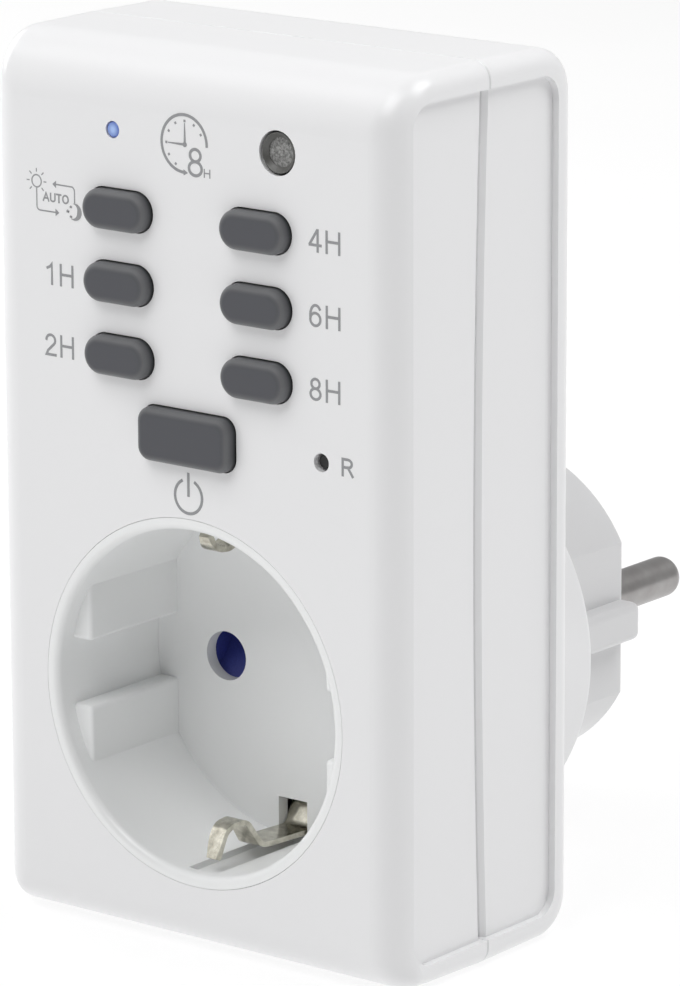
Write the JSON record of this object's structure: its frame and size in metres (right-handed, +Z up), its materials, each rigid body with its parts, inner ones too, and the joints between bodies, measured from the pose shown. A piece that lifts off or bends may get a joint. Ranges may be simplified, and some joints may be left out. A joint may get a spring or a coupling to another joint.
{
  "type": "plug-in timer",
  "caption": "Plug-in timer with keypad, light sensor and reset on its front, a shuttered earthed socket below them and an earthed plug behind.",
  "frame": {"origin": "centre of the ring on the base disc that rests on the wall outlet, on the common axis of plug and socket", "axes": "+Z up along the case, +Y back into the wall along the plug pins, +X to the right seen from the front"},
  "size_m": [0.0572, 0.0787, 0.1006],
  "materials": {
    "white_shell": "glossy moulded ABS, white",
    "white_well": "satin-gloss moulded polycarbonate, white",
    "carrier_plastic": "moulded PBT, natural",
    "blue_shutter": "moulded acetal, navy blue",
    "spring_steel": "drawn stainless wire",
    "nickel_strip": "nickel-plated stamped bronze",
    "nickel_pin": "nickel-plated turned brass",
    "brass": "stamped brass",
    "brown_insulation": "extruded PVC, brown",
    "blue_insulation": "extruded PVC, blue",
    "board_laminate": "solder-masked glass epoxy, green",
    "screw_steel": "zinc-plated steel",
    "relay_case": "moulded PBT, blue",
    "capacitor_case": "moulded box, yellow",
    "capacitor_sleeve": "shrunk PVC sleeve, black",
    "varistor_coat": "dipped epoxy, blue",
    "fuse_case": "moulded thermoplastic, black",
    "chip_epoxy": "moulded epoxy, black",
    "key_rubber": "moulded silicone rubber, dark grey",
    "carbon_pad": "carbon-filled silicone",
    "reset_plastic": "moulded acetal, near black",
    "lamp_blue": "clear polycarbonate light guide, lit blue",
    "led_package": "moulded lamp package",
    "sensor_ring": "moulded ABS, dark grey",
    "sensor_face": "smoked acrylic, textured"
  },
  "bodies": {
    "case": {"front_shell": "white_shell", "rear_shell": "white_shell", "socket_well": "white_well", "contact_carrier": "carrier_plastic", "shutter_spring": "spring_steel", "earth_clips": "nickel_strip", "plug_earth_strip": "nickel_strip", "earth_rivet": "brass", "live_contact": "brass", "neutral_contact": "brass", "live_pin": "nickel_pin", "neutral_pin": "nickel_pin", "pin_retainer": "carrier_plastic", "neutral_link": "brass", "live_in_wire": "brown_insulation", "live_out_wire": "brown_insulation", "neutral_wire": "blue_insulation", "control_board": "board_laminate", "board_screws": "screw_steel", "case_screws": "screw_steel", "relay": "relay_case", "film_capacitor": "capacitor_case", "electrolytic_capacitor": "capacitor_sleeve", "varistor": "varistor_coat", "fuse": "fuse_case", "controller_chip": "chip_epoxy", "keypad_mat": "key_rubber", "reset_switch": "chip_epoxy", "light_pipe": "lamp_blue", "status_led": "led_package", "sensor_holder": "sensor_ring", "light_sensor": "sensor_face"},
    "key_auto": {"key_auto": "key_rubber", "pad_auto": "carbon_pad"},
    "key_1h": {"key_1h": "key_rubber", "pad_1h": "carbon_pad"},
    "key_2h": {"key_2h": "key_rubber", "pad_2h": "carbon_pad"},
    "key_4h": {"key_4h": "key_rubber", "pad_4h": "carbon_pad"},
    "key_6h": {"key_6h": "key_rubber", "pad_6h": "carbon_pad"},
    "key_8h": {"key_8h": "key_rubber", "pad_8h": "carbon_pad"},
    "power_key": {"power_key": "key_rubber", "power_key_pads": "carbon_pad"},
    "reset_plunger": {"reset_plunger": "reset_plastic"},
    "shutter": {"shutter": "blue_shutter"}
  },
  "joints": [
    {"name": "key_auto_press", "type": "slide", "parent": "case", "child": "key_auto", "axis": [0, 1, 0], "range_m": [0, 0.001], "stiffness_N_per_m": 1200, "springref_m": -0.0003},
    {"name": "key_1h_press", "type": "slide", "parent": "case", "child": "key_1h", "axis": [0, 1, 0], "range_m": [0, 0.001], "stiffness_N_per_m": 1200, "springref_m": -0.0003},
    {"name": "key_2h_press", "type": "slide", "parent": "case", "child": "key_2h", "axis": [0, 1, 0], "range_m": [0, 0.001], "stiffness_N_per_m": 1200, "springref_m": -0.0003},
    {"name": "key_4h_press", "type": "slide", "parent": "case", "child": "key_4h", "axis": [0, 1, 0], "range_m": [0, 0.001], "stiffness_N_per_m": 1200, "springref_m": -0.0003},
    {"name": "key_6h_press", "type": "slide", "parent": "case", "child": "key_6h", "axis": [0, 1, 0], "range_m": [0, 0.001], "stiffness_N_per_m": 1200, "springref_m": -0.0003},
    {"name": "key_8h_press", "type": "slide", "parent": "case", "child": "key_8h", "axis": [0, 1, 0], "range_m": [0, 0.001], "stiffness_N_per_m": 1200, "springref_m": -0.0003},
    {"name": "power_key_press", "type": "slide", "parent": "case", "child": "power_key", "axis": [0, 1, 0], "range_m": [0, 0.001], "stiffness_N_per_m": 1500, "springref_m": -0.0003},
    {"name": "reset_press", "type": "slide", "parent": "case", "child": "reset_plunger", "axis": [0, 1, 0], "range_m": [0, 0.0004], "stiffness_N_per_m": 2500, "springref_m": -0.0001},
    {"name": "shutter_slide", "type": "slide", "parent": "case", "child": "shutter", "axis": [0, 0, -1], "range_m": [0, 0.0058], "stiffness_N_per_m": 250, "springref_m": -0.004, "deforming": ["shutter_spring"]}
  ]
}
